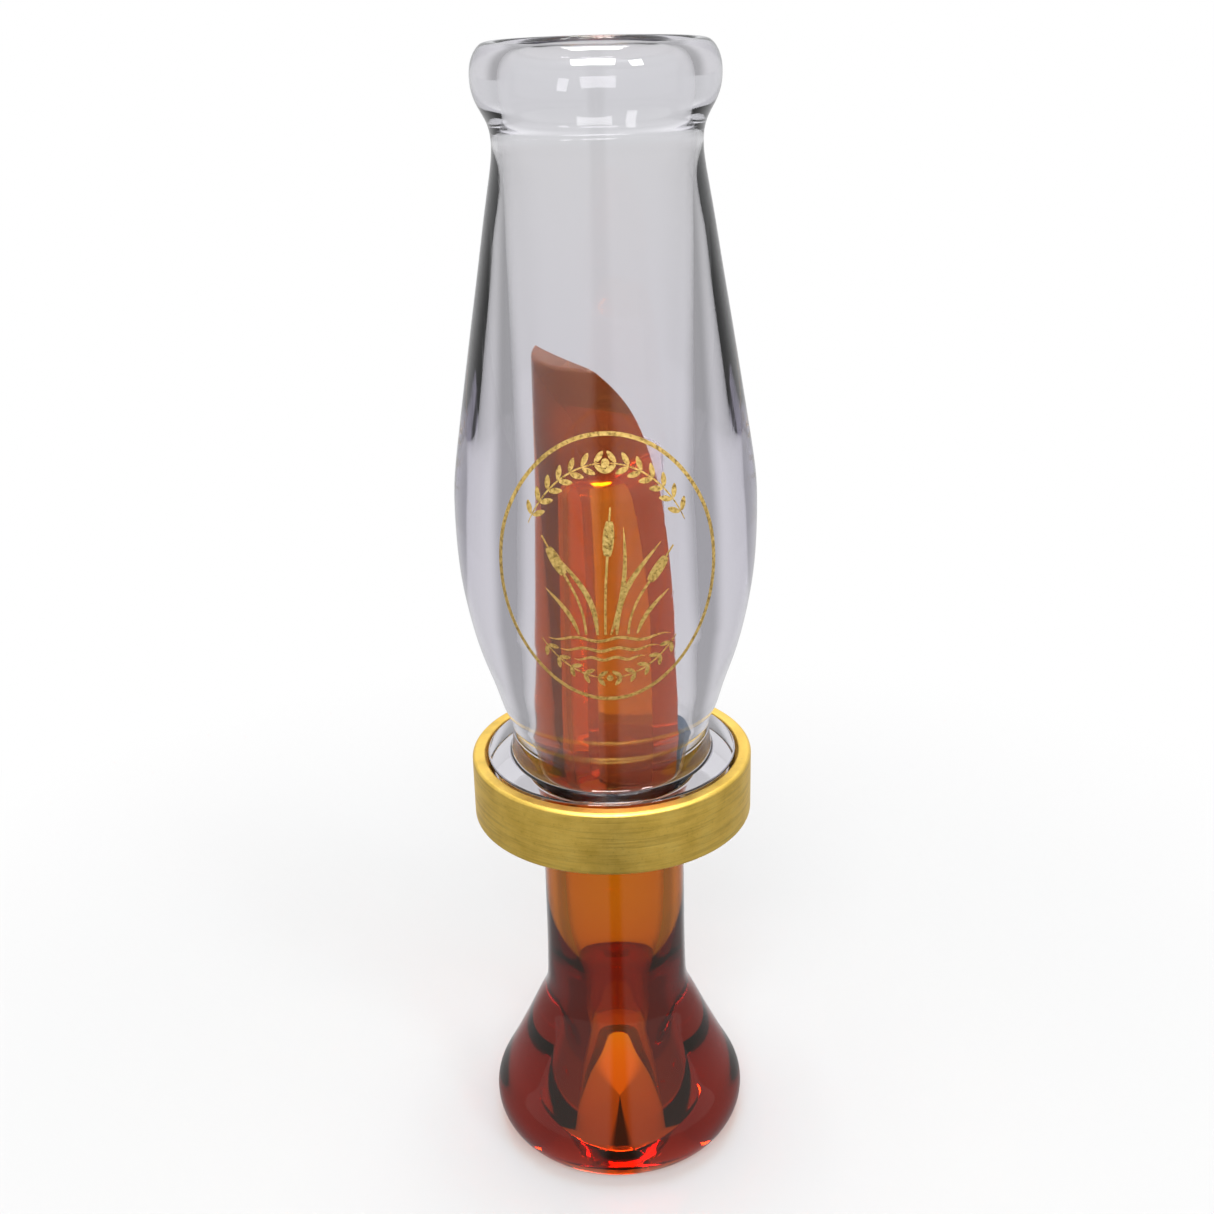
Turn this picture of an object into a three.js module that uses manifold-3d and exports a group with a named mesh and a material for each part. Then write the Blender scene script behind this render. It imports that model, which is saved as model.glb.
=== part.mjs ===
// Duck call: clear barrel with a brass band, amber insert (bell, neck, stem and tone board),
// one mylar reed and the rubber wedge that clamps it.
// Millimetres, +Z up. The call stands upright on the foot of its bell: the origin is the centre
// of the foot and the mouthpiece is at the top.
import * as THREE from 'three';
import Module from 'manifold-3d';

const wasm = await Module();
wasm.setup();

// ---------------------------------------------------------------- driving dimensions
const FACETS = 48;               // round every turned surface
const GAP = 0.3;                 // fitting gap between neighbouring pieces

// Barrel
const BARREL_TOP_Z = 139.0;      // top of the mouthpiece lip
const BARREL_BOTTOM_Z = 47.2;    // flush with the band
const BELLY_R = 17.8;            // widest radius
const WAIST_R = 11.5;            // narrowest outside radius, just under the lip
const LIP_R = 13.5;              // outside radius of the mouthpiece lip
const CHAMBER_BOTTOM_R = 10.85;  // tone chamber radius at its lower end
const CHAMBER_MOUTH_R = 10.6;
const SOCKET_R = 9.4;            // socket that takes the stem of the insert
const SOCKET_TOP_Z = 59.5;       // the socket eases out into the tone chamber above this
const FLANGE_R = 15.5;           // flange inside the band
const FLANGE_TOP_Z = 55.6;
const GROOVE_R = 12.25;          // short neck between flange and belly

// Band
const BAND_R = 17.45;            // 1 3/8 inch across
const BAND_BORE_R = FLANGE_R + GAP;
const BAND_TOP_Z = 55.4;

// Insert
const FOOT_R = 13.6;             // flat of the bell's foot
const BELL_R = 16.6;
const BELL_MOUTH_R = 7.0;        // opening of the bell
const THROAT_R = 4.85;           // narrowest part of the bore, where the neck meets the bell
const BORE_R = 6.3;              // bore through the neck
const BORE_TOP_Z = 46.0;         // closed top of the bore
const NECK_R = 9.05;
const STEM_TIP_Z = 105.3;
const STEM_TIP_R = 8.35;

// Tone board: offsets are measured from the axis, along the direction the board faces
const BOARD_ANGLE = THREE.MathUtils.degToRad(37);  // direction it faces, from +X towards +Y
const BOARD_OFFSET = 2.4;
const BOARD_TIP_OFFSET = -5.9;   // where the board has curved away at the stem's tip
const NOTCH_Z = 49.5;            // floor of the wedge notch
const CUT_REACH = 12;            // carries the board's cutter clear of the stem
const CUT_TOP_Z = STEM_TIP_Z + 3;

// Tone channel
const CHANNEL_R = 2.2;           // half width
const CHANNEL_OFFSET = -2.2;     // centre of its round bottom
const CHANNEL_BOTTOM_Z = 43;     // starts inside the neck bore
const CHANNEL_END_Z = 89.0;      // centre of its round end
const CHANNEL_FACETS = 24;       // round its bottom
const SLOT_END_STEPS = 16;       // round the end of the straight-sided part
const DOME_STEPS = 6;            // from the side to the top of the domed end
const SLOT_OVERLAP = 0.01;       // the open slot starts this far below the notch floor
const SLOT_REACH = 4;            // the open slot runs this far out past the board
const PASSAGE_OFFSET = 1.9;      // outer wall of the passage under the notch floor
const PASSAGE_OVERLAP = 1;       // the passage runs this far above the notch floor

// Reed and wedge
const REED_T = 0.35;
const REED_HALF_W = 6.8;
const REED_TOP_Z = 95.1;
const REED_CLIP = 0.7;           // clipped corners of the free end
const REED_OFFSET = BOARD_OFFSET + GAP;
const WEDGE_R = SOCKET_R - GAP;
const WEDGE_TOP_Z = 61.3;
const WEDGE_OFFSET = REED_OFFSET + REED_T + GAP;
const WEDGE_STEPS = 16;          // round its arc
const CLAMP_Z = NOTCH_Z + GAP;   // reed and wedge stand just off the notch floor

// ---------------------------------------------------------------- helpers
// Indexed geometry, its triangles turned to face outward if they face inward.
function toGeometry(verts, tris) {
  let volume = 0;
  const a = new THREE.Vector3();
  const b = new THREE.Vector3();
  const c = new THREE.Vector3();
  for (let i = 0; i < tris.length; i += 3) {
    a.fromArray(verts, tris[i] * 3);
    b.fromArray(verts, tris[i + 1] * 3);
    c.fromArray(verts, tris[i + 2] * 3);
    volume += a.dot(b.cross(c));
  }
  if (volume < 0) {
    for (let i = 0; i < tris.length; i += 3) {
      [tris[i], tris[i + 1]] = [tris[i + 1], tris[i]];
    }
  }
  const geometry = new THREE.BufferGeometry();
  geometry.setAttribute('position', new THREE.BufferAttribute(Float32Array.from(verts), 3));
  geometry.setIndex(tris);
  return geometry;
}

// Revolve a closed [radius, z] outline about Z. Points of radius 0 become single vertices.
function revolve(outline, facets = FACETS) {
  const verts = [];
  const rows = outline.map(([radius, z]) => {
    const first = verts.length / 3;
    if (radius < 1e-6) {
      verts.push(0, 0, z);
      return [first];
    }
    for (let i = 0; i < facets; i++) {
      const angle = (2 * Math.PI * i) / facets;
      verts.push(radius * Math.cos(angle), radius * Math.sin(angle), z);
    }
    return Array.from({ length: facets }, (_, i) => first + i);
  });
  const tris = [];
  rows.forEach((row, k) => {
    const next = rows[(k + 1) % rows.length];
    if (row.length === 1 && next.length === 1) return;
    for (let i = 0; i < facets; i++) {
      const j = (i + 1) % facets;
      if (row.length === 1) tris.push(row[0], next[i], next[j]);
      else if (next.length === 1) tris.push(row[i], next[0], row[j]);
      else tris.push(row[i], next[i], row[j], row[j], next[i], next[j]);
    }
  });
  return toGeometry(verts, tris);
}

// Skin a stack of matching loops of [x, y, z] points and cap both ends. capOutline is the first
// loop in its own plane, anticlockwise, so that caps and sides face the same way.
function stackLoops(loops, capOutline) {
  const count = capOutline.length;
  const last = (loops.length - 1) * count;
  const tris = [];
  const flat = capOutline.map(([x, y]) => new THREE.Vector2(x, y));
  for (const [a, b, c] of THREE.ShapeUtils.triangulateShape(flat, [])) {
    tris.push(a, c, b);
    tris.push(last + a, last + b, last + c);
  }
  for (let lower = 0; lower < last; lower += count) {
    const upper = lower + count;
    for (let i = 0; i < count; i++) {
      const j = (i + 1) % count;
      tris.push(lower + i, lower + j, upper + i);
      tris.push(lower + j, upper + j, upper + i);
    }
  }
  return toGeometry(loops.flat(2), tris);
}

// A point in the tone board's frame: out along its facing direction, across it, and z up.
const OUT = [Math.cos(BOARD_ANGLE), Math.sin(BOARD_ANGLE)];
const ACROSS = [Math.sin(BOARD_ANGLE), -Math.cos(BOARD_ANGLE)];
function onBoard(out, across, z) {
  return [OUT[0] * out + ACROSS[0] * across, OUT[1] * out + ACROSS[1] * across, z];
}

// Prism of an anticlockwise [across, z] outline between two offsets.
function facePrism(outline, fromOffset, toOffset) {
  const loopAt = (offset) => outline.map(([across, z]) => onBoard(offset, across, z));
  return stackLoops([loopAt(fromOffset), loopAt(toOffset)], outline);
}

function toManifold(geometry) {
  return new wasm.Manifold(new wasm.Mesh({
    numProp: 3,
    vertProperties: Float32Array.from(geometry.getAttribute('position').array),
    triVerts: Uint32Array.from(geometry.getIndex().array),
  }));
}

function fromManifold(solid) {
  const mesh = solid.getMesh();
  return toGeometry(Array.from(mesh.vertProperties), Array.from(mesh.triVerts));
}

// ---------------------------------------------------------------- materials
const clearPlastic = new THREE.MeshStandardMaterial({
  color: 0xd8dee2, roughness: 0.06, metalness: 0, transparent: true, opacity: 0.3,
});
const brass = new THREE.MeshStandardMaterial({ color: 0xc39a45, roughness: 0.35, metalness: 1 });
const amberPlastic = new THREE.MeshStandardMaterial({
  color: 0xb8520a, roughness: 0.08, metalness: 0, transparent: true, opacity: 0.72,
});
const mylar = new THREE.MeshStandardMaterial({
  color: 0xcfcbd0, roughness: 0.3, metalness: 0, transparent: true, opacity: 0.5,
});
const rubber = new THREE.MeshStandardMaterial({ color: 0x3c5568, roughness: 0.75, metalness: 0 });

// ---------------------------------------------------------------- barrel
// [radius, z]
const BARREL_OUTLINE = [
  // lower end and flange
  [SOCKET_R + 0.4, BARREL_BOTTOM_Z], [FLANGE_R - 0.25, BARREL_BOTTOM_Z],
  [FLANGE_R, BARREL_BOTTOM_Z + 0.25], [FLANGE_R, FLANGE_TOP_Z - 0.25],
  [FLANGE_R - 0.25, FLANGE_TOP_Z],
  // fillet and groove
  [12.95, FLANGE_TOP_Z], [12.72, 55.72], [12.5, 56.1], [12.36, 56.75], [12.28, 57.6],
  [GROOVE_R, 58.8], [12.28, 59.6], [12.4, 60.2], [12.65, 60.9], [12.95, 61.6], [13.3, 62.5],
  // belly
  [13.75, 64.0], [14.35, 66.0], [15.2, 68.51], [15.85, 70.7], [16.45, 73.2], [17.0, 76.1],
  [17.45, 79.3], [17.72, 82.7], [BELLY_R, 86.2], [17.72, 89.8], [17.42, 92.6], [16.8, 96.6],
  // taper to the waist
  [15.98, 101.53], [15.15, 106.46], [14.3, 111.39], [13.45, 116.31], [12.7, 120.75],
  [12.07, 124.2], [11.65, 126.66], [WAIST_R, 128.4], [11.62, 129.9], [12.05, 131.2],
  // rolled lip
  [12.75, 132.5], [13.3, 133.9], [LIP_R, 135.5], [13.35, 136.9], [12.85, 138.1],
  [12.1, 138.82], [11.6, BARREL_TOP_Z], [11.15, BARREL_TOP_Z],
  // down the tone chamber
  [CHAMBER_MOUTH_R + 0.15, 138.75], [CHAMBER_MOUTH_R, 138.2],
  [CHAMBER_BOTTOM_R - 0.02, 76.0], [CHAMBER_BOTTOM_R - 0.1, 73.6],
  [CHAMBER_BOTTOM_R - 0.27, 71.2], [10.27, 68.2], [9.93, 64.9], [9.62, 62.0],
  // socket
  [SOCKET_R + 0.06, 60.6], [SOCKET_R, SOCKET_TOP_Z], [SOCKET_R, BARREL_BOTTOM_Z + 0.4],
];

// ---------------------------------------------------------------- brass band
// [radius, z]: rounded outer edges, chamfered bore
const BAND_OUTLINE = [
  [BAND_BORE_R + 0.3, BARREL_BOTTOM_Z], [BAND_R - 0.45, BARREL_BOTTOM_Z],
  [BAND_R - 0.12, BARREL_BOTTOM_Z + 0.15], [BAND_R, BARREL_BOTTOM_Z + 0.5],
  [BAND_R, BAND_TOP_Z - 0.5], [BAND_R - 0.12, BAND_TOP_Z - 0.15],
  [BAND_R - 0.45, BAND_TOP_Z], [BAND_BORE_R + 0.3, BAND_TOP_Z],
  [BAND_BORE_R, BAND_TOP_Z - 0.3], [BAND_BORE_R, BARREL_BOTTOM_Z + 0.3],
];

// ---------------------------------------------------------------- insert
// [radius, z]
const INSERT_OUTLINE = [
  // stem and neck
  [0, STEM_TIP_Z], [STEM_TIP_R - 0.35, STEM_TIP_Z], [STEM_TIP_R, STEM_TIP_Z - 0.5],
  [8.95, 60.0], [NECK_R, 47.0], [9.0, 38.0], [9.05, 30.0], [9.15, 23.2],
  // bell, down to the foot
  [9.25, 21.7], [9.62, 20.2], [10.25, 18.9], [10.95, 17.4], [12.22, 14.6], [13.83, 11.24],
  [14.75, 9.4], [15.5, 8.0], [16.15, 6.75], [16.5, 5.6], [BELL_R, 4.5], [16.45, 3.3],
  [16.05, 2.15], [15.4, 1.1], [14.55, 0.35], [FOOT_R, 0],
  // bore, up from the bell's mouth through the throat
  [BELL_MOUTH_R + 0.3, 0], [BELL_MOUTH_R, 0.3], [6.6, 2.6], [6.1, 5.6], [5.6, 9.0],
  [5.1, 12.8], [THROAT_R, 17.0], [4.95, 21.0], [5.38, 24.2], [5.85, 27.5], [6.2, 30.8],
  [BORE_R, 34.5], [BORE_R - 0.1, 42.5], [5.4, 44.6], [3.6, 45.7], [0, BORE_TOP_Z],
];

// [offset, z]: flat over the wedge and the heel of the reed, then curving away to the tip.
// The last points close the cutter outside the stem.
const BOARD_CUT_OUTLINE = [
  [BOARD_OFFSET, NOTCH_Z], [BOARD_OFFSET, 75.5], [2.22, 79.0], [1.85, 83.0], [1.25, 87.5],
  [0.42, 91.8], [-0.7, 95.6], [-1.75, 98.7], [-3.1, 101.5], [-4.5, 103.6],
  [BOARD_TIP_OFFSET, STEM_TIP_Z], [BOARD_TIP_OFFSET, CUT_TOP_Z],
  [CUT_REACH, CUT_TOP_Z], [CUT_REACH, NOTCH_Z],
];

// Everything in front of the tone board, above the notch floor.
function boardCutter() {
  const outline = [...BOARD_CUT_OUTLINE].reverse();  // anticlockwise
  const loopAt = (across) => outline.map(([out, z]) => onBoard(out, across, z));
  return stackLoops([loopAt(CUT_REACH), loopAt(-CUT_REACH)], outline);
}

// Points [x, z] on the channel's rounded end, from its +x side through the given angle.
function channelEnd(sweep, steps) {
  return Array.from({ length: steps + 1 }, (_, i) => {
    const angle = (sweep * i) / steps;
    return [CHANNEL_R * Math.cos(angle), CHANNEL_END_Z + CHANNEL_R * Math.sin(angle)];
  });
}

// Straight-sided part of the channel, open through the face of the board.
function slotCutter() {
  const bottomZ = NOTCH_Z - SLOT_OVERLAP;
  const end = channelEnd(Math.PI, SLOT_END_STEPS);
  const outline = [[CHANNEL_R, bottomZ], ...end, [-CHANNEL_R, bottomZ]];
  return facePrism(outline, CHANNEL_OFFSET, BOARD_OFFSET + SLOT_REACH);
}

// Passage from the neck bore up through the notch floor into the slot.
function passageCutter() {
  const topZ = NOTCH_Z + PASSAGE_OVERLAP;
  return facePrism([
    [CHANNEL_R, CHANNEL_BOTTOM_Z], [CHANNEL_R, topZ],
    [-CHANNEL_R, topZ], [-CHANNEL_R, CHANNEL_BOTTOM_Z],
  ], CHANNEL_OFFSET, PASSAGE_OFFSET);
}

// Round bottom of the channel: an upright cylinder with a domed top.
function channelBottomCutter() {
  const dome = channelEnd(Math.PI / 2, DOME_STEPS);
  const outline = [[0, CHANNEL_BOTTOM_Z], [CHANNEL_R, CHANNEL_BOTTOM_Z], ...dome];
  const cutter = revolve(outline, CHANNEL_FACETS);
  cutter.rotateZ(BOARD_ANGLE);
  cutter.translate(...onBoard(CHANNEL_OFFSET, 0, 0));
  return cutter;
}

function insertGeometry() {
  let solid = toManifold(revolve(INSERT_OUTLINE));
  for (const cutter of [boardCutter(), slotCutter(), passageCutter(), channelBottomCutter()]) {
    solid = solid.subtract(toManifold(cutter));
  }
  return fromManifold(solid);
}

// ---------------------------------------------------------------- reed
// A flat strip on the tone board, corners of its free end clipped.
function reedGeometry() {
  return facePrism([
    [-REED_HALF_W, CLAMP_Z], [REED_HALF_W, CLAMP_Z],
    [REED_HALF_W, REED_TOP_Z - REED_CLIP], [REED_HALF_W - REED_CLIP, REED_TOP_Z],
    [-REED_HALF_W + REED_CLIP, REED_TOP_Z], [-REED_HALF_W, REED_TOP_Z - REED_CLIP],
  ], REED_OFFSET, REED_OFFSET + REED_T);
}

// ---------------------------------------------------------------- wedge
// Half-moon plug: flat against the reed, round against the socket, slightly thinner at its
// lower end. [arc radius, z, edge inset]
const WEDGE_STATIONS = [
  [WEDGE_R - 0.5, CLAMP_Z, 0.15],
  [WEDGE_R - 0.35, CLAMP_Z + 0.35, 0],
  [WEDGE_R, WEDGE_TOP_Z - 0.4, 0],
  [WEDGE_R - 0.1, WEDGE_TOP_Z, 0.25],
];

// [out, across] points of one cross-section.
function wedgeSection(radius, inset) {
  const halfChord = Math.sqrt(radius * radius - WEDGE_OFFSET * WEDGE_OFFSET);
  const halfAngle = Math.atan2(halfChord, WEDGE_OFFSET);
  return Array.from({ length: WEDGE_STEPS + 1 }, (_, i) => {
    const angle = -halfAngle + (2 * halfAngle * i) / WEDGE_STEPS;
    const out = Math.max(WEDGE_OFFSET + inset, radius * Math.cos(angle) - inset);
    return [out, radius * Math.sin(angle) * (1 - inset / radius)];
  });
}

function wedgeGeometry() {
  const sections = WEDGE_STATIONS.map(([radius, , inset]) => wedgeSection(radius, inset));
  const loops = WEDGE_STATIONS.map(([, z], k) => (
    sections[k].map(([out, across]) => onBoard(out, across, z))
  ));
  return stackLoops(loops, sections[0]);
}

// ---------------------------------------------------------------- assembly
const group = new THREE.Group();
group.name = 'duck_call';

// Adds a flat-shaded mesh.
function add(name, geometry, material) {
  const faceted = geometry.toNonIndexed();
  faceted.computeVertexNormals();
  const mesh = new THREE.Mesh(faceted, material);
  mesh.name = name;
  group.add(mesh);
}

add('barrel', revolve(BARREL_OUTLINE), clearPlastic);
add('band', revolve(BAND_OUTLINE), brass);
add('insert', insertGeometry(), amberPlastic);
add('reed', reedGeometry(), mylar);
add('wedge', wedgeGeometry(), rubber);

export default group;
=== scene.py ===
# A reed call standing upright on its flared bell: a clear barrel with a brass band and a
# printed emblem, over an amber insert that carries a reed and a rubber wedge. The common
# axis is +Z and the bell's lip stands at z = 0. The emblem faces -Y, the camera's side.
# Outlines are in millimetres and become metres through MM; stage, lamps and textures
# are in metres.
import math

import bmesh
import bpy
import numpy as np
from mathutils import Matrix, Vector


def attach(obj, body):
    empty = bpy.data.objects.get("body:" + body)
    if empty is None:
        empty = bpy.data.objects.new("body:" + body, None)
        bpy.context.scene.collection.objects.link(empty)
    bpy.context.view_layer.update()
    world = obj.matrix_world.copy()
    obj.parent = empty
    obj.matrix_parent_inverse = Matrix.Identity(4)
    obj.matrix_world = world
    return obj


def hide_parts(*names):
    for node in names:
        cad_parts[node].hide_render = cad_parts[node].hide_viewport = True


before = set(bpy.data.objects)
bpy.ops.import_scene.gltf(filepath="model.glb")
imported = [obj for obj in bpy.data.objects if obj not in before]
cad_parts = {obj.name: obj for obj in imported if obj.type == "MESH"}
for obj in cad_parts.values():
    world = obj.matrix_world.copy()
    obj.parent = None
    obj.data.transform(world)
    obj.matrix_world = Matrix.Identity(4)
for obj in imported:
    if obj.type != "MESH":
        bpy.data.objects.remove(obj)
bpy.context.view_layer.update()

MM = 0.001
scene = bpy.context.scene


# ------------------------------------------------------------------ outline tools
def spline(points, count):
    """Natural cubic through points, spaced by the square root of chord length."""
    p = np.array(points, float)
    chords = np.linalg.norm(np.diff(p, axis=0), axis=1)
    t = np.concatenate([[0], np.cumsum(chords ** 0.5)])
    size = len(p)
    gap = np.diff(t)
    system = np.zeros((size, size))
    target = np.zeros((size, p.shape[1]))
    system[0, 0] = system[-1, -1] = 1
    for i in range(1, size - 1):
        system[i, i - 1:i + 2] = gap[i - 1], 2 * (gap[i - 1] + gap[i]), gap[i]
        target[i] = 6 * ((p[i + 1] - p[i]) / gap[i] - (p[i] - p[i - 1]) / gap[i - 1])
    bend = np.linalg.solve(system, target)
    out = []
    for s in np.linspace(0, t[-1], count):
        i = min(int(np.searchsorted(t, s, side="right")) - 1, size - 2)
        before, after = t[i + 1] - s, s - t[i]
        width = gap[i]
        out.append(tuple((bend[i] * before**3 + bend[i + 1] * after**3) / (6 * width)
                         + (p[i] / width - bend[i] * width / 6) * before
                         + (p[i + 1] / width - bend[i + 1] * width / 6) * after))
    return out


def rounded(points, steps=7):
    """Polyline of (r, z) or (r, z, fillet radius) corners with their fillets drawn in."""
    out = []
    for i, corner in enumerate(points):
        if len(corner) < 3 or i in (0, len(points) - 1):
            out.append(corner[:2])
            continue
        before, here, after = (np.array(points[j][:2], float) for j in (i - 1, i, i + 1))
        a, b = before - here, after - here
        length_a, length_b = np.linalg.norm(a), np.linalg.norm(b)
        a, b = a / length_a, b / length_b
        half = math.acos(max(-1, min(1, float(a @ b)))) / 2
        cut = min(corner[2] / math.tan(half), length_a * 0.49, length_b * 0.49)
        radius = cut * math.tan(half)
        centre = here + (a + b) / np.linalg.norm(a + b) * (radius / math.sin(half))
        start, end = here + a * cut - centre, here + b * cut - centre
        first = math.atan2(start[1], start[0])
        sweep = (math.atan2(end[1], end[0]) - first + math.pi) % (2 * math.pi) - math.pi
        for k in range(steps + 1):
            angle = first + sweep * k / steps
            out.append((centre[0] + radius * math.cos(angle),
                        centre[1] + radius * math.sin(angle)))
    return out


# ------------------------------------------------------------------ mesh tools
def face_outward(bm):
    bmesh.ops.recalc_face_normals(bm, faces=bm.faces)
    if bm.calc_volume(signed=True) < 0:
        bmesh.ops.reverse_faces(bm, faces=bm.faces)


def merge_close(bm, dist):
    bmesh.ops.remove_doubles(bm, verts=bm.verts, dist=dist)
    bmesh.ops.dissolve_degenerate(bm, edges=bm.edges, dist=dist)


def new_object(name, verts, faces):
    mesh = bpy.data.meshes.new(name)
    mesh.from_pydata([tuple(v) for v in verts], [], faces)
    mesh.validate(verbose=False)
    ob = bpy.data.objects.new(name, mesh)
    scene.collection.objects.link(ob)
    bm = bmesh.new()
    bm.from_mesh(mesh)
    face_outward(bm)
    bm.to_mesh(mesh)
    bm.free()
    return ob


def turn(name, outline, segments, phase=0.0):
    """Revolve a closed outline of (r, z) in millimetres about Z."""
    verts, rows = [], []
    for r, z in outline:
        if r < 1e-6:
            rows.append([len(verts)])
            verts.append((0, 0, z * MM))
            continue
        rows.append(list(range(len(verts), len(verts) + segments)))
        for i in range(segments):
            angle = 2 * math.pi * i / segments + phase
            verts.append((r * MM * math.cos(angle), r * MM * math.sin(angle), z * MM))
    faces = []
    for k, row in enumerate(rows):
        following = rows[(k + 1) % len(rows)]
        if len(row) == 1 and len(following) == 1:
            continue
        for i in range(segments):
            j = (i + 1) % segments
            if len(row) == 1:
                faces.append((row[0], following[i], following[j]))
            elif len(following) == 1:
                faces.append((row[i], following[0], row[j]))
            else:
                faces.append((row[i], following[i], following[j], row[j]))
    return new_object(name, verts, faces)


def weld(ob, dist=1e-7):
    bm = bmesh.new()
    bm.from_mesh(ob.data)
    merge_close(bm, dist)
    bm.to_mesh(ob.data)
    bm.free()


def smooth(ob, degrees):
    """Smooth shading, with edges sharper than the angle kept crisp."""
    for polygon in ob.data.polygons:
        polygon.use_smooth = True
    ob.data.set_sharp_from_angle(angle=math.radians(degrees))


def subtract(target, tool):
    """Cut tool out of target and discard the tool."""
    cut = target.modifiers.new("cut", "BOOLEAN")
    cut.operation = "DIFFERENCE"
    cut.object = tool
    cut.solver = "EXACT"
    depsgraph = bpy.context.evaluated_depsgraph_get()
    mesh = bpy.data.meshes.new_from_object(target.evaluated_get(depsgraph))
    target.modifiers.clear()
    old = target.data
    target.data = mesh
    bpy.data.meshes.remove(old)
    bpy.data.objects.remove(tool)


def assign(ob, look, rides, part):
    """Give a piece its material and the CAD part that it stands in for."""
    ob.data.materials.append(look)
    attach(ob, rides)
    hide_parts(part)


# ------------------------------------------------------------------ shader tools
def rgba(colour):
    return (*colour, 1)


class Shader:
    """Builds the node tree of a material or world; most methods return an output socket."""

    def __init__(self, owner):
        owner.use_nodes = True
        self.tree = owner.node_tree
        self.tree.nodes.clear()

    def add(self, kind, inputs=None, **settings):
        """New node; inputs maps a socket's name or index to a value or a socket to link."""
        made = self.tree.nodes.new("ShaderNode" + kind)
        for name, value in settings.items():
            setattr(made, name, value)
        for key, value in (inputs or {}).items():
            if isinstance(value, bpy.types.NodeSocket):
                self.tree.links.new(value, made.inputs[key])
            else:
                made.inputs[key].default_value = value
        return made

    def node(self, kind, inputs=None, output=0, **settings):
        return self.add(kind, inputs, **settings).outputs[output]

    def noise(self, vector, scale=1.0, detail=2.0, roughness=0.5):
        return self.node("TexNoise", {"Vector": vector, "Scale": scale, "Detail": detail,
                                      "Roughness": roughness}, "Fac")

    def stretch(self, vector, scale, rotation=(0, 0, 0)):
        return self.node("Mapping", {"Vector": vector, "Rotation": rotation, "Scale": scale})

    def ramp(self, factor, stops, interpolation="LINEAR"):
        """Colour ramp over (position, colour) stops; a single number is a grey."""
        made = self.add("ValToRGB", {0: factor})
        made.color_ramp.interpolation = interpolation
        stops = [(position, rgba((c,) * 3 if isinstance(c, float) else c))
                 for position, c in stops]
        elements = made.color_ramp.elements
        for element, stop in ((elements[0], stops[0]), (elements[1], stops[-1])):
            element.position, element.color = stop
        for position, colour in stops[1:-1]:
            elements.new(position).color = colour
        return made.outputs["Color"]

    def blend(self, kind, first, second, factor=1.0):
        return self.node("Mix", {0: factor, 6: first, 7: second}, 2,
                         data_type="RGBA", blend_type=kind)

    def maths(self, operation, *values):
        return self.node("Math", dict(enumerate(values)), operation=operation)

    def smoothstep(self, value, low, high, start=0.0, end=1.0):
        """Ease from start to end while value goes from low to high."""
        return self.node("MapRange", {"Value": value, "From Min": low, "From Max": high,
                                      "To Min": start, "To Max": end},
                         interpolation_type="SMOOTHSTEP")

    def bump(self, height, strength, distance=0.0001):
        return self.node("Bump", {"Height": height, "Strength": strength,
                                  "Distance": distance}, "Normal")

    def mix(self, factor, first, second):
        return self.node("MixShader", {0: factor, 1: first, 2: second})

    def light_path(self, ray):
        return self.node("LightPath", output=ray)

    def pass_light(self, surface, colour):
        """Let lamps shine through the surface, tinted by colour."""
        transparent = self.node("BsdfTransparent", {"Color": rgba(colour)})
        return self.mix(self.light_path("Is Shadow Ray"), surface, transparent)


def new_material(name):
    """Material, its empty shader and the object coordinates that drive its textures."""
    material = bpy.data.materials.new(name)
    shader = Shader(material)
    return material, shader, shader.node("TexCoord", output="Object")


# ------------------------------------------------------------------ materials
def clear_plastic(name, tint, absorption, lamp_tint, rough, ior, scratch, transmission,
                  veil=None):
    """Polished transparent plastic: absorbing volume, hairline scratches, faint haze.

    absorption is the volume's colour and density. veil is (z where it starts, z where it
    is full, colour, share) of a thin satin layer.
    """
    material, shader, coords = new_material(name)
    # Handling haze: broad soft patches that lift the roughness.
    haze = shader.noise(coords, scale=140.0, detail=4.0, roughness=0.6)
    roughness = shader.ramp(haze, [(0.45, rough), (0.8, rough + 0.02)])
    # Hairline scratches in two slanting directions: (rotation, stretch).
    scratches = []
    for rotation, scale in (((0.3, 0.2, 0.9), (5200, 60, 60)),
                            ((1.2, 0.1, 2.2), (60, 6400, 60))):
        lines = shader.noise(shader.stretch(coords, scale, rotation), detail=1.0)
        scratches.append(shader.ramp(lines, [(0.70, 0.0), (0.76, 1.0)]))
    surface = shader.node("BsdfPrincipled", {
        "Base Color": rgba(tint), "IOR": ior, "Transmission Weight": transmission,
        "Roughness": roughness,
        "Normal": shader.bump(shader.blend("ADD", *scratches), strength=scratch)})
    if veil is not None:
        low, high, colour, share = veil
        height = shader.node("SeparateXYZ", {0: coords}, "Z")
        cover = shader.smoothstep(height, low, high, end=share)
        satin = shader.node("BsdfDiffuse", {"Color": rgba(colour)})
        surface = shader.mix(cover, surface, satin)
    colour, density = absorption
    volume = shader.node("VolumeAbsorption", {"Color": rgba(colour), "Density": density})
    shader.add("OutputMaterial", {"Surface": shader.pass_light(surface, lamp_tint),
                                  "Volume": volume})
    return material


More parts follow.
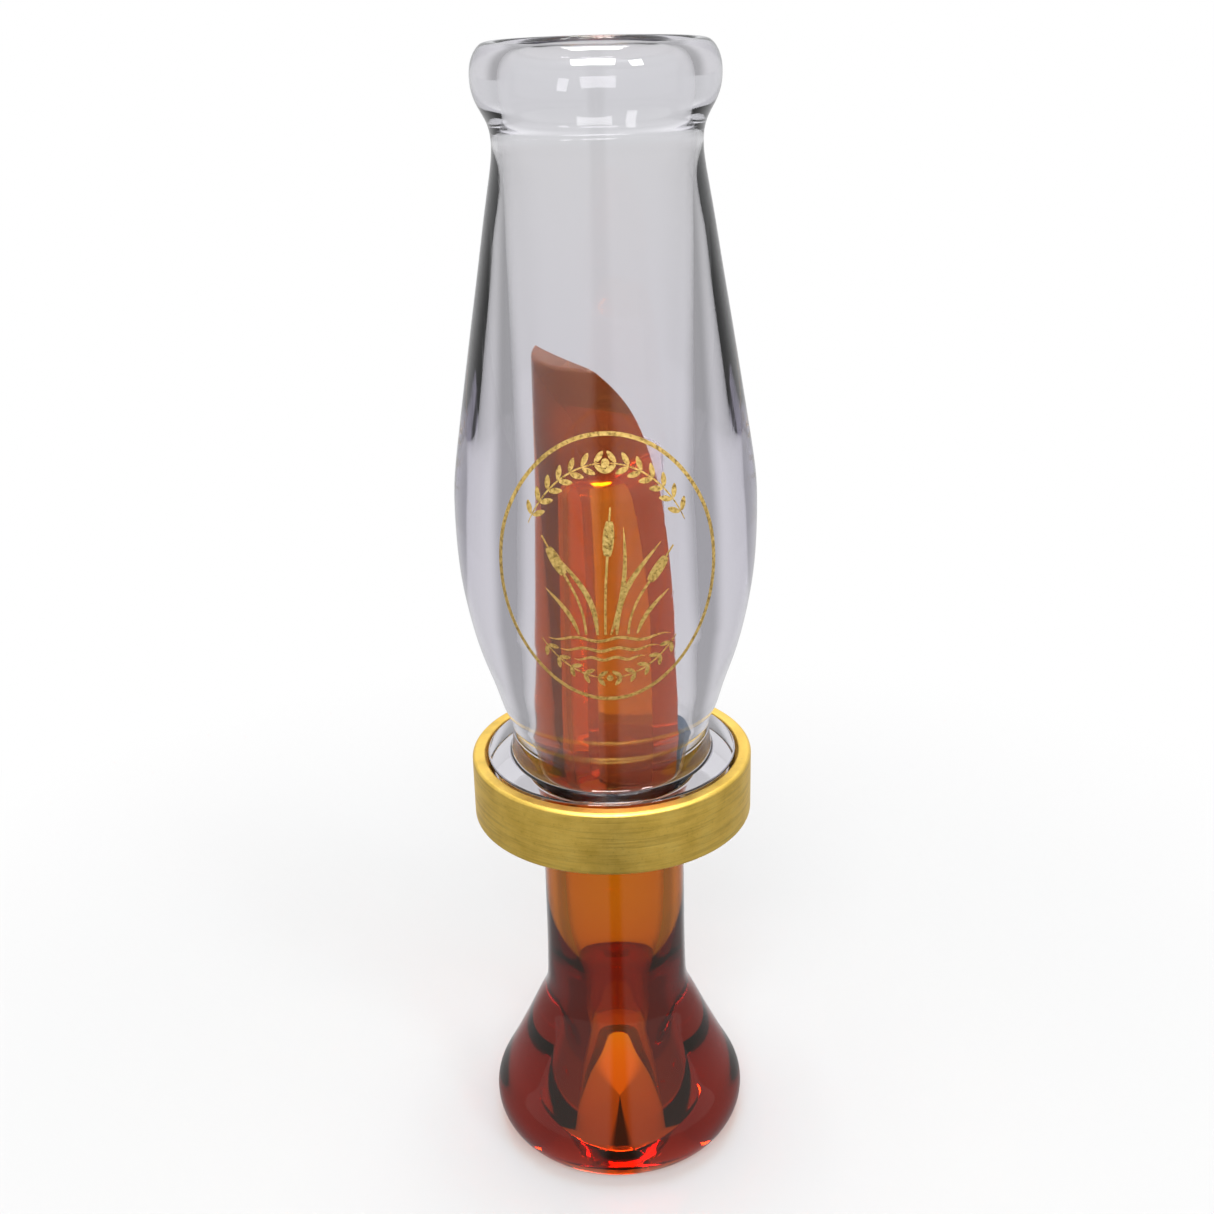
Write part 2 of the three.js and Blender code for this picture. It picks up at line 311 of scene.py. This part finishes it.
def satin_brass():
    material, shader, coords = new_material("satin_brass")
    # Lathe lines round the band, and coarser brush marks where the tool dug in.
    lines = shader.noise(shader.stretch(coords, (90, 90, 5200)), detail=4.0, roughness=0.7)
    marks = shader.noise(shader.stretch(coords, (110, 110, 2300)), detail=5.0, roughness=0.6)
    tarnish = shader.noise(coords, scale=260.0, detail=6.0, roughness=0.65)
    specks = shader.noise(coords, scale=2600.0)
    colour = shader.ramp(tarnish, [(0.30, (0.86, 0.57, 0.10)), (0.52, (0.98, 0.67, 0.14)),
                                   (0.75, (1.0, 0.73, 0.18))])
    for darker in (shader.ramp(specks, [(0.26, 0.88), (0.40, 1.0)]),
                   shader.ramp(marks, [(0.34, 0.80), (0.50, 0.97), (0.66, 1.0)])):
        colour = shader.blend("MULTIPLY", colour, darker)
    # Roughness starts at 0.28; the lines add up to 0.16 and the tarnish up to 0.12.
    roughness = shader.maths("MULTIPLY_ADD", lines, 0.16, 0.28)
    roughness = shader.maths("MULTIPLY_ADD", tarnish, 0.12, roughness)
    surface = shader.node("BsdfPrincipled", {
        "Metallic": 1.0, "Base Color": colour, "Roughness": roughness,
        "Normal": shader.bump(shader.maths("ADD", lines, marks), strength=0.35)})
    shader.add("OutputMaterial", {"Surface": surface})
    return material


def wedge_rubber():
    material, shader, coords = new_material("wedge_rubber")
    mottle = shader.noise(coords, scale=900.0, detail=5.0, roughness=0.6)
    grain = shader.node("TexVoronoi", {"Vector": coords, "Scale": 2600.0}, "Distance")
    surface = shader.node("BsdfPrincipled", {
        "Specular IOR Level": 0.3,
        "Base Color": shader.ramp(mottle, [(0.3, (0.017, 0.032, 0.050)),
                                           (0.55, (0.025, 0.045, 0.064)),
                                           (0.8, (0.040, 0.064, 0.086))]),
        "Roughness": shader.ramp(mottle, [(0.3, 0.5), (0.8, 0.78)]),
        "Normal": shader.bump(grain, strength=0.25)})
    shader.add("OutputMaterial", {"Surface": surface})
    return material


def frosted_mylar():
    material, shader, coords = new_material("frosted_mylar")
    cloud = shader.noise(coords, scale=700.0, detail=4.0)
    # Fine streaks that run up the reed.
    streaks = shader.noise(shader.stretch(coords, (4000, 4000, 60)), detail=3.0)
    surface = shader.node("BsdfPrincipled", {
        "IOR": 1.5, "Transmission Weight": 0.88,
        "Base Color": shader.ramp(cloud, [(0.3, (0.80, 0.77, 0.82)),
                                          (0.7, (0.88, 0.86, 0.90))]),
        "Roughness": shader.ramp(streaks, [(0.3, 0.12), (0.75, 0.26)]),
        "Normal": shader.bump(streaks, strength=0.04)})
    surface = shader.pass_light(surface, (0.8, 0.79, 0.82))
    shader.add("OutputMaterial", {"Surface": surface})
    return material


def gold_ink():
    material, shader, coords = new_material("gold_ink")
    flakes = shader.noise(coords, scale=3000.0, detail=3.0, roughness=0.7)
    surface = shader.node("BsdfPrincipled", {
        "Metallic": 0.55,
        "Base Color": shader.ramp(flakes, [(0.36, (0.20, 0.12, 0.03)),
                                           (0.47, (0.47, 0.31, 0.08)),
                                           (0.66, (0.66, 0.47, 0.16))]),
        "Roughness": shader.ramp(flakes, [(0.3, 0.34), (0.75, 0.6)]),
        "Normal": shader.bump(flakes, strength=0.2, distance=0.00005)})
    shader.add("OutputMaterial", {"Surface": surface})
    return material


clear = clear_plastic(
    "clear_acrylic", tint=(0.99, 0.985, 0.995), absorption=((0.62, 0.55, 0.80), 14.0),
    lamp_tint=(0.92, 0.915, 0.94), rough=0.012, ior=1.49, scratch=0.02, transmission=1.0)
amber = clear_plastic(
    "amber_plastic", tint=(1.0, 0.70, 0.35), absorption=((0.934, 0.798, 0.0), 900.0),
    lamp_tint=(0.95, 0.62, 0.35), rough=0.02, ior=1.5, scratch=0.03, transmission=0.995,
    veil=(0.052, 0.064, (0.95, 0.28, 0.06), 0.05))
brass = satin_brass()
rubber = wedge_rubber()
mylar = frosted_mylar()
ink = gold_ink()

# ------------------------------------------------------------------ barrel
FOOT_Z = 47.2                 # lower end of barrel and band
GROOVE_LOW = (12.95, 55.6)    # (r, z) where the foot meets the groove above it
GROOVE_HIGH = (12.36, 60.1)   # (r, z) where the groove meets the belly

# Outer side from the groove to the mouth: (r, z).
BELLY = [
    GROOVE_HIGH, (12.62, 60.85), (12.95, 61.6), (13.3, 62.5), (13.75, 64.0), (14.35, 66.0),
    (15.2, 68.51), (15.85, 70.7), (16.45, 73.2), (17.0, 76.1), (17.45, 79.3), (17.70, 82.7),
    (17.78, 86.2), (17.70, 89.8), (17.42, 92.6), (16.8, 96.6), (15.98, 101.53),
    (15.15, 106.46), (14.3, 111.39), (13.45, 116.31), (12.7, 120.75), (12.07, 124.2),
    (11.65, 126.66), (11.5, 128.4), (11.62, 129.9), (12.05, 131.2), (12.75, 132.5),
    (13.3, 133.9), (13.49, 135.5), (13.34, 136.9), (12.84, 138.08), (12.15, 138.8),
    (11.55, 138.99)]
GROOVE = [GROOVE_LOW, (12.72, 55.72), (12.5, 56.1), (12.36, 56.75), (12.28, 57.6),
          (12.25, 58.8), (12.28, 59.6), GROOVE_HIGH]
# Corners (r, z, fillet). The first one only sets the direction and is left out.
BARREL_FOOT = [(9.4, 50.0), (9.4, FOOT_Z, 0.4), (15.5, FOOT_Z, 0.3), (15.5, 55.6, 0.28),
               GROOVE_LOW]
CHAMBER = [(11.5, 138.995), (10.6, 139.0, 0.55), (10.6, 136.0), (10.85, 74.0, 9.0),
           (9.4, 59.5, 9.0), (9.4, 52.0)]

belly_curve = spline(BELLY, 260)
barrel = turn("barrel_body", rounded(BARREL_FOOT)[1:] + spline(GROOVE, 40)[1:-1]
              + belly_curve + rounded(CHAMBER)[1:], segments=288)
weld(barrel)
smooth(barrel, 40)
assign(barrel, clear, "barrel", "barrel")

# ------------------------------------------------------------------ band
# Corners (r, z, fillet); the first one only sets the direction and is left out.
BAND = [(15.8, 50.0), (15.8, FOOT_Z, 0.3), (17.45, FOOT_Z, 0.45), (17.45, 55.4, 0.5),
        (15.8, 55.4, 0.28), (15.8, 51.0)]
band = turn("band_ring", rounded(BAND, 8)[1:], segments=288)
weld(band)
smooth(band, 40)
assign(band, brass, "barrel", "band")

# ------------------------------------------------------------------ insert
# The flat tone board looks this way, turned about Z from +X.
BOARD_TURN = math.radians(37)
BOARD_OUT = Vector((math.cos(BOARD_TURN), math.sin(BOARD_TURN), 0))
BOARD_ACROSS = Vector((math.sin(BOARD_TURN), -math.cos(BOARD_TURN), 0))


def board(out, across, z):
    """Point in metres from millimetres out from the axis, across the board and up."""
    return (BOARD_OUT * out + BOARD_ACROSS * across) * MM + Vector((0, 0, z * MM))


STEM_END = (9.0, 38.0)    # (r, z) where the stem meets the bell
BORE_TOP = (6.2, 42.5)    # (r, z) where the bore starts to close
BORE_TIP = (0, 46.0)
STEM = [(0, 105.3), (8.35, 105.3, 0.45), (8.95, 60.0), (9.05, 47.0), STEM_END]
# Outside of the bell, downwards to the lip: (r, z).
BELL = [STEM_END, (9.02, 33.0), (9.05, 28.0), (9.13, 24.0), (9.25, 21.8), (9.62, 20.2),
        (10.25, 18.8), (10.95, 17.35), (12.22, 14.6), (13.83, 11.24), (14.75, 9.4),
        (15.5, 8.0), (16.13, 6.75), (16.5, 5.6), (16.59, 4.5), (16.45, 3.3), (16.05, 2.15),
        (15.4, 1.1), (14.55, 0.35), (13.6, 0.0)]
LIP = [(7.3, 0.0), (7.12, 0.06)]
BORE = [(7.0, 0.3), (6.6, 2.6), (6.1, 5.6), (5.6, 9.0), (5.1, 12.8), (4.85, 17.0),
        (5.0, 21.5), (5.65, 26.0), (6.15, 30.0), (6.3, 33.5), (6.3, 38.0), BORE_TOP]
BORE_DOME = [BORE_TOP, (5.4, 44.6), (3.6, 45.7), BORE_TIP]
# Face of the board where it curves back towards its tip: (out, z).
BOARD_CURVE = [(2.4, 75.5), (2.22, 79.0), (1.85, 83.0), (1.25, 87.5), (0.42, 91.8),
               (-0.7, 95.6), (-1.75, 98.7), (-3.1, 101.5), (-4.5, 103.6), (-5.9, 105.35)]


def board_cutter():
    """Prism that takes away the stem in front of the board, down to the notch floor."""
    floor_z, top_z, far_out, half_width = 49.5, 108.3, 12, 12
    loop = [(2.4, floor_z), (2.4, 60.0)] + spline(BOARD_CURVE, 60)
    loop += [(-5.9, top_z), (far_out, top_z), (far_out, floor_z)]
    n = len(loop)
    verts = [board(out, side * half_width, z) for side in (-1, 1) for out, z in loop]
    faces = [tuple(range(n)), tuple(range(2 * n - 1, n - 1, -1))]
    faces += [(i, i + n, (i + 1) % n + n, (i + 1) % n) for i in range(n)]
    return new_object("cut_board", verts, faces)


def channel_cutter():
    """Round-bottomed channel with a ball-shaped far end; shallower below the notch floor."""
    radius = 2.2
    centre_out = -2.2                         # axis of the round bottom
    low_out, high_out = 1.9, 6.4              # open side, below and above the step
    z_start, z_step, z_end = 43.0, 49.47, 89.0
    end_steps, bottom_steps = 40, 20

    # Half section from the bottom's middle: (across, out).
    half = []
    for k in range(bottom_steps + 1):
        angle = math.pi / 2 * k / bottom_steps
        half.append((radius * math.sin(angle), centre_out - radius * math.cos(angle)))
    half += [(radius, low_out), (radius, high_out)]
    # Stations up one side, round the end and down the other: (across, up, z).
    path = [(1, 0, z) for z in (z_start, z_step, z_end)]
    for i in range(1, end_steps):
        angle = math.pi * i / end_steps
        path.append((math.cos(angle), math.sin(angle), z_end))
    path += [(-1, 0, z) for z in (z_end, z_step, z_start)]
    verts = [board(out, across * c, z + across * s) for c, s, z in path
             for across, out in half]

    top = len(half) - 1      # index of the outermost point of a section
    low = top - 1
    last = len(path) - 1

    def at(j, k):
        return j * len(half) + k

    faces = []
    for j in range(last):
        for k in range(top):
            if k == low and j in (0, last - 1):
                continue
            faces.append((at(j, k), at(j + 1, k), at(j + 1, k + 1), at(j, k + 1)))
    faces.append(tuple(at(0, k) for k in range(top))
                 + tuple(at(last, k) for k in range(low, 0, -1)))
    faces.append((at(0, low), at(1, low), at(last - 1, low), at(last, low)))
    faces.append((at(1, low), at(1, top), at(last - 1, top), at(last - 1, low)))
    faces.append(tuple(at(j, top) for j in range(1, last)))

    mesh = bpy.data.meshes.new("cut_channel")
    mesh.from_pydata([tuple(v) for v in verts], [], faces)
    ob = bpy.data.objects.new("cut_channel", mesh)
    scene.collection.objects.link(ob)
    bm = bmesh.new()
    bm.from_mesh(mesh)
    merge_close(bm, 1e-8)
    loose = [v for v in bm.verts if not v.link_faces]
    bmesh.ops.delete(bm, geom=loose, context="VERTS")
    face_outward(bm)
    bm.to_mesh(mesh)
    bm.free()
    return ob


insert = turn("insert_body", rounded(STEM)[:-1] + spline(BELL, 150) + LIP + spline(BORE, 90)
              + spline(BORE_DOME, 14)[1:-1] + [BORE_TIP], segments=240, phase=BOARD_TURN)
subtract(insert, board_cutter())
subtract(insert, channel_cutter())
weld(insert, 2e-7)
smooth(insert, 24)
insert.data.materials.clear()    # any empty slot left by the cuts
assign(insert, amber, "insert", "insert")

# ------------------------------------------------------------------ reed
HEEL_Z = 49.8    # lower end of reed and wedge


def reed_strip():
    """Thin strip in front of the board, with clipped corners at its upper tip."""
    inner, outer, half, tip_z, clip = 2.7, 3.05, 6.8, 95.1, 0.7
    rows, cols = 60, 14
    clip_z = tip_z - clip
    heights = list(np.linspace(HEEL_Z, clip_z, rows)) + [tip_z - clip * 0.5, tip_z]
    verts, faces = [], []
    for out in (inner, outer):
        for z in heights:
            width = half if z < clip_z else half - clip * (z - clip_z) / clip
            verts += [board(out, -width + 2 * width * c / cols, z) for c in range(cols + 1)]
    row = cols + 1
    face = len(heights) * row    # offset from the inner face to the outer one
    for r in range(len(heights) - 1):
        for c in range(cols):
            a = r * row + c
            b = face + a
            faces.append((a, a + 1, a + 1 + row, a + row))
            faces.append((b, b + row, b + 1 + row, b + 1))
        for c in (0, cols):
            a = r * row + c
            faces.append((a, a + row, face + a + row, face + a))
    for r in (0, len(heights) - 1):
        for c in range(cols):
            a = r * row + c
            faces.append((a, face + a, face + a + 1, a + 1))
    return new_object("reed_strip", verts, faces)


reed = reed_strip()
smooth(reed, 30)
assign(reed, mylar, "reed", "reed")

# ------------------------------------------------------------------ wedge
# Sections from the heel up: (radius, z, inset of the outline).
WEDGE_RINGS = [(8.55, HEEL_Z, 0.35), (8.62, 49.88, 0.18), (8.68, 50.05, 0.06)]
WEDGE_RINGS += [(8.74 + 0.34 * k / 8, 50.3 + 10.5 * k / 8, 0.0) for k in range(9)]
WEDGE_RINGS += [(9.09, 61.05, 0.06), (9.06, 61.2, 0.16), (9.0, 61.28, 0.3),
                (8.95, 61.3, 0.55)]


def wedge_ring(radius, z, inset):
    """D-shaped section: an arc about the axis, closed by a flat facing the reed."""
    flat_out, arc_steps, flat_steps = 3.35, 48, 16
    reach = math.atan2(math.sqrt(radius * radius - flat_out * flat_out), flat_out)
    points = []
    for i in range(arc_steps + 1):
        angle = -reach + 2 * reach * i / arc_steps
        out, across = radius * math.cos(angle), radius * math.sin(angle)
        points.append((max(flat_out + inset, out - inset * (out / radius)),
                       across * (1 - inset / radius)))
    (out_a, across_a), (out_b, across_b) = points[-1], points[0]
    for i in range(1, flat_steps):
        f = i / flat_steps
        points.append((out_a + (out_b - out_a) * f, across_a + (across_b - across_a) * f))
    return [board(out, across, z) for out, across in points]


def wedge_block():
    loops = [wedge_ring(*ring) for ring in WEDGE_RINGS]
    n = len(loops[0])
    last = (len(loops) - 1) * n
    faces = [(k + i, k + (i + 1) % n, k + n + (i + 1) % n, k + n + i)
             for k in range(0, last, n) for i in range(n)]
    faces += [tuple(range(n - 1, -1, -1)), tuple(range(last, last + n))]
    return new_object("wedge_block", [v for loop in loops for v in loop], faces)


wedge = wedge_block()
smooth(wedge, 40)
assign(wedge, rubber, "wedge", "wedge")

# ------------------------------------------------------------------ printed emblem
# Gold ink on the barrel: a thin ring, bulrushes and leaves standing in ripples, garlands
# and two dots. Flat positions are (u, w): millimetres across and up from the centre.
EMBLEM_Z = 84.9
EMBLEM_RADIUS = 17.7                                # turns u into an angle about Z
HALF_WIDTH = math.radians(41.5) * EMBLEM_RADIUS
HALF_HEIGHT = 15.6
ROOT_W = -7.0                                       # where stalks and leaves start
INK_BOTTOM, INK_TOP = -0.02, 0.015                  # below and above the barrel's surface

belly_r, belly_z = np.array(belly_curve).T
z_order = np.argsort(belly_z)
belly_r, belly_z = belly_r[z_order], belly_z[z_order]


class Ink:
    """Gathers the vertices and faces of the printed ribbons."""

    def __init__(self):
        self.verts, self.faces = [], []

    def point(self, u, w, lift):
        """Point on the barrel, lifted off its surface."""
        z = EMBLEM_Z + w
        angle = -math.pi / 2 + u / EMBLEM_RADIUS
        r = float(np.interp(z, belly_z, belly_r)) + lift
        return (r * MM * math.cos(angle), r * MM * math.sin(angle), z * MM)

    def ribbon(self, path, width, closed=False):
        """Thin solid along a path of (u, w); width is one number or one per point."""
        points = np.array(path, float)
        count = len(points)
        following = np.roll(points, -1, 0)
        previous = np.roll(points, 1, 0)
        if not closed:
            following[-1] = points[-1]
            previous[0] = points[0]
        along = following - previous
        along /= np.maximum(np.linalg.norm(along, axis=1), 1e-9)[:, None]
        side = np.stack([-along[:, 1], along[:, 0]], 1)
        half = np.broadcast_to(width, count) / 2
        base = len(self.verts)
        for k in range(count):
            for sign, lift in ((-1, INK_BOTTOM), (1, INK_BOTTOM), (1, INK_TOP), (-1, INK_TOP)):
                u, w = points[k] + side[k] * sign * half[k]
                self.verts.append(self.point(u, w, lift))
        for k in range(count if closed else count - 1):
            a, b = base + 4 * k, base + 4 * ((k + 1) % count)
            for j in range(4):
                self.faces.append((a + j, a + (j + 1) % 4, b + (j + 1) % 4, b + j))
        if not closed:
            end = base + 4 * (count - 1)
            self.faces.append((base, base + 1, base + 2, base + 3))
            self.faces.append((end + 3, end + 2, end + 1, end))


def unit(u, w):
    length = math.hypot(u, w)
    return u / length, w / length


def straight(start, direction, length, count, first=0.0):
    """Points along a line, from the share first of its length to its end."""
    return [(start[0] + direction[0] * length * t, start[1] + direction[1] * length * t)
            for t in np.linspace(first, 1, count)]


def swell(width, count, first, span, power, least=0.0):
    """Widths that follow part of a half sine, from first over span, raised to power."""
    return [max(least, width * math.sin(math.pi * (first + span * k / (count - 1))) ** power)
            for k in range(count)]


def bulrush(base_u, lean, tall, head):
    stalk = [(base_u + lean * t ** 2, ROOT_W + tall * t) for t in np.linspace(0, 1, 24)]
    art.ribbon(stalk, 0.28)
    direction = unit(stalk[-1][0] - stalk[-4][0], stalk[-1][1] - stalk[-4][1])
    spike = straight(stalk[-1], direction, head, 22)
    art.ribbon(spike, swell(1.25, 22, first=0.06, span=0.88, power=0.35))
    art.ribbon(straight(spike[-1], direction, 1.5, 6), 0.2)


def leaf(base_u, across, up, bend, width):
    path = [(base_u + across * t + bend * math.sin(math.pi * t), ROOT_W + up * t)
            for t in np.linspace(0, 1, 26)]
    art.ribbon(path, swell(width, 26, first=0.10, span=0.88, power=0.8, least=0.06))


def garland(start, end, pairs, inset, size):
    """Arc inside the ring, between two angles, with pairs of small leaves along it."""
    radius_u, radius_w = HALF_WIDTH - inset, HALF_HEIGHT - inset - 0.2
    arc = [(radius_u * math.cos(a), radius_w * math.sin(a)) for a in np.linspace(start, end, 90)]
    art.ribbon(arc, swell(0.20, 90, first=0.08, span=0.84, power=0.5))
    way = 1 if end > start else -1
    widths = swell(0.62 * size / 1.7, 14, first=0.06, span=0.90, power=0.75)
    for k in range(pairs):
        a = start + (end - start) * (k + 0.5) / pairs
        centre = (radius_u * math.cos(a), radius_w * math.sin(a))
        u, w = unit(-radius_u * math.sin(a) * way, radius_w * math.cos(a) * way)
        for side in (-1, 1):
            splay = side * math.radians(42)
            direction = (u * math.cos(splay) - w * math.sin(splay),
                         u * math.sin(splay) + w * math.cos(splay))
            art.ribbon(straight(centre, direction, size, 14, first=0.12), widths)


def dot(centre_w, radius, steps=10):
    path = [(-radius + 2 * radius * k / steps, centre_w) for k in range(steps + 1)]
    art.ribbon(path, [max(0.05, 2 * radius * math.sin(math.acos(1 - 2 * k / steps)))
                      for k in range(steps + 1)])


art = Ink()
art.ribbon([(HALF_WIDTH * math.cos(a), HALF_HEIGHT * math.sin(a))
            for a in np.linspace(0, 2 * math.pi, 240, endpoint=False)], 0.46, closed=True)
# Each: base u, lean, stalk height, head length.
for rush in ((-0.4, 0.4, 9.4, 3.9), (-2.6, -2.2, 7.2, 3.4), (2.2, 2.4, 6.2, 3.2)):
    bulrush(*rush)
# Each: base u, run across, rise, bend, width.
for blade in ((-1.3, -4.6, 9.6, 1.3, 0.62), (0.9, 5.0, 10.6, -1.5, 0.66),
              (-3.4, -3.6, 5.4, 0.6, 0.5), (3.2, 3.6, 5.0, -0.6, 0.5),
              (0.2, 1.6, 12.6, 0.7, 0.5)):
    leaf(*blade)
# Ripples: w, half length, wave height.
for level_w, half_length, wave in ((-7.6, 7.2, 0.22), (-8.9, 5.8, 0.2), (-10.1, 4.2, 0.18)):
    shares = np.linspace(-1, 1, 70)
    art.ribbon([(half_length * t, level_w + wave * math.sin(t * 9.0)) for t in shares],
               [0.30 * (1 - abs(t) ** 4) + 0.05 for t in shares])
# Garlands: start in degrees, end in radians just short of the middle, pairs, inset, size.
TOP, LOW = math.pi / 2, -math.pi / 2
for start_degrees, end_angle, pairs, inset, size in (
        (27, TOP - 0.06, 7, 2.9, 1.75), (153, TOP + 0.06, 7, 2.9, 1.75),
        (-38, LOW + 0.07, 5, 2.7, 1.5), (-142, LOW - 0.07, 5, 2.7, 1.5)):
    garland(math.radians(start_degrees), end_angle, pairs, inset, size)
dot(HALF_HEIGHT - 3.1, radius=0.5)
dot(-(HALF_HEIGHT - 2.9), radius=0.42)

emblem = new_object("emblem_print", art.verts, art.faces)
for polygon in emblem.data.polygons:
    polygon.use_smooth = False
emblem.data.materials.append(ink)
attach(emblem, "barrel")

# ------------------------------------------------------------------ floor and world
# Brightness seen through or in the pieces, towards +Y (back), the sides and -Y (front).
ROOM = (0.70, 0.62, 0.55)
FLOOR = (0.70, 0.38, 0.36)
CEILING = 1.0
# Painted light: close to the foot, the floor carries a painted pool of amber-tinted light. It
# stands in for light that passes through the bell onto the floor under it. The pool is full
# within the first radius and fades to neutral by the second.
AMBER_LIGHT_POOL_RADII = (0.006, 0.009)
AMBER_LIGHT_POOL_COLOUR = (1.6, 0.92, 0.12)


def room_level(shader, x, y, levels):
    """Brightness for a unit direction, from its x and y."""
    back, side, front = levels
    share = shader.maths("MULTIPLY_ADD", y, 0.5, 0.5)
    level = shader.ramp(share, [(0.0, front), (0.22, front), (0.46, side), (0.78, side),
                                (0.94, back), (1.0, back)], "EASE")
    # The viewer keeps a narrow strip of the front dark.
    strip = shader.smoothstep(shader.maths("ABSOLUTE", x), 0.09, 0.22, start=0.10)
    behind = shader.maths("GREATER_THAN", y, 0.0)
    return shader.maths("MULTIPLY", level, shader.maths("MAXIMUM", strip, behind))


def floor_paper():
    material = bpy.data.materials.new("floor_paper")
    shader = Shader(material)
    position = shader.node("NewGeometry", output="Position")
    flat = shader.node("VectorMath", {0: position, 1: (1, 1, 0)}, operation="MULTIPLY")
    distance = shader.node("VectorMath", {0: flat}, "Value", operation="LENGTH")
    direction = shader.node("VectorMath", {0: flat}, operation="NORMALIZE")
    axes = shader.add("SeparateXYZ", {0: direction}).outputs
    # Seen directly: nearly white paper that takes shadows only close to the foot.
    paper = shader.node("BsdfDiffuse", {"Color": rgba((0.36, 0.36, 0.36))})
    white = shader.node("Emission", {"Strength": 1.0})
    shaded = shader.smoothstep(distance, 0.03, 0.16, start=0.85, end=0.0)
    direct = shader.mix(shaded, white, paper)
    # Seen through or in the plastic: the room's brightness, plus a painted pool of amber-tinted
    # light close to the foot, where light through the bell would fall.
    colour = shader.blend("MIX", rgba(AMBER_LIGHT_POOL_COLOUR), rgba((0.99, 0.99, 1.0)),
                          factor=shader.smoothstep(distance, *AMBER_LIGHT_POOL_RADII))
    level = room_level(shader, axes["X"], axes["Y"], FLOOR)
    indirect = shader.node("Emission", {"Color": colour, "Strength": level})
    surface = shader.mix(shader.light_path("Is Camera Ray"), indirect, direct)
    shader.add("OutputMaterial", {"Surface": surface})
    return material


def stage_floor():
    half, z = 3.0, -0.0002
    mesh = bpy.data.meshes.new("floor")
    corners = [(-half, -half, z), (half, -half, z), (half, half, z), (-half, half, z)]
    mesh.from_pydata(corners, [], [(0, 1, 2, 3)])
    ob = bpy.data.objects.new("floor", mesh)
    scene.collection.objects.link(ob)
    mesh.materials.append(floor_paper())


def studio_world():
    """White to the camera; to all else a room, brightest at its ceiling."""
    scene.world = bpy.data.worlds.new("studio")
    shader = Shader(scene.world)
    coords = shader.node("TexCoord", output="Generated")
    axes = shader.add("SeparateXYZ", {0: coords}).outputs
    level = room_level(shader, axes["X"], axes["Y"], ROOM)
    overhead = shader.smoothstep(axes["Z"], 0.30, 0.62)
    strength = shader.node("Mix", {0: overhead, 2: level, 3: CEILING}, data_type="FLOAT")
    room = shader.node("Background", {"Color": rgba((0.98, 0.99, 1.0)), "Strength": strength})
    white = shader.node("Background", {"Color": rgba((1, 1, 1)), "Strength": 1.0})
    surface = shader.mix(shader.light_path("Is Camera Ray"), room, white)
    shader.add("OutputWorld", {"Surface": surface})


stage_floor()
studio_world()


# ------------------------------------------------------------------ lamps
def lamp(name, location, target, size, power):
    """Rectangular area lamp aimed at target; size is (width, height), power in watts."""
    light = bpy.data.lights.new(name, "AREA")
    light.shape = "RECTANGLE"
    light.size, light.size_y = size
    light.energy = power
    ob = bpy.data.objects.new(name, light)
    scene.collection.objects.link(ob)
    ob.location = location
    aim = Vector(target) - Vector(location)
    ob.rotation_euler = aim.to_track_quat("-Z", "Y").to_euler()
    return ob


MIDDLE = (0, 0, 0.075)
BELL_FOOT = (0, 0, 0.02)
# Each: name, location, size, power.
for name, location, size, power in (
        ("window_wide", (-0.03, -0.62, 0.62), (0.50, 0.24), 8.3),
        ("window_narrow", (0.52, -0.62, 0.62), (0.18, 0.24), 3.0),
        ("ceiling", (0.0, 0.05, 1.0), (0.42, 0.42), 9.0)):
    lamp(name, location, MIDDLE, size, power)
# Two panes far behind glow through the foot of the bell, and light only the insert.
lit = bpy.data.collections.new("lit_by_back_panes")
lit.objects.link(insert)
for name, location, size, power in (
        ("back_wide", (-0.057, 0.820, 0.396), (0.22, 0.22), 7.0),
        ("back_narrow", (-0.171, 0.804, 0.396), (0.10, 0.22), 3.5)):
    pane = lamp(name, location, BELL_FOOT, size, power)
    pane.light_linking.receiver_collection = lit


# ------------------------------------------------------------------ camera and render
def main_camera():
    """Camera on the -Y side, looking towards +Y and down, with a slight roll."""
    place = Vector((-0.16, -175.87, 145.535)) * MM
    down, roll = math.radians(22.074), math.radians(-1.377)
    lens = bpy.data.cameras.new("main_camera")
    lens.sensor_fit = "HORIZONTAL"
    lens.sensor_width = 36.0
    lens.lens = 46.4382208
    lens.clip_start = 0.005
    lens.clip_end = 20
    camera = bpy.data.objects.new("main_camera", lens)
    scene.collection.objects.link(camera)
    level = Vector((1, 0, 0))
    upright = Vector((0, math.sin(down), math.cos(down)))
    forward = Vector((0, math.cos(down), -math.sin(down)))
    right = level * math.cos(roll) + upright * math.sin(roll)
    up = -level * math.sin(roll) + upright * math.cos(roll)
    turned = Matrix((right, up, -forward)).transposed().to_4x4()
    camera.matrix_world = Matrix.Translation(place) @ turned
    scene.camera = camera


main_camera()
scene.view_settings.view_transform = "Standard"
scene.view_settings.look = "None"
scene.cycles.max_bounces = 24
scene.cycles.transmission_bounces = 24
scene.cycles.transparent_max_bounces = 16
scene.cycles.blur_glossy = 0.1
scene.cycles.sample_clamp_indirect = 6.0
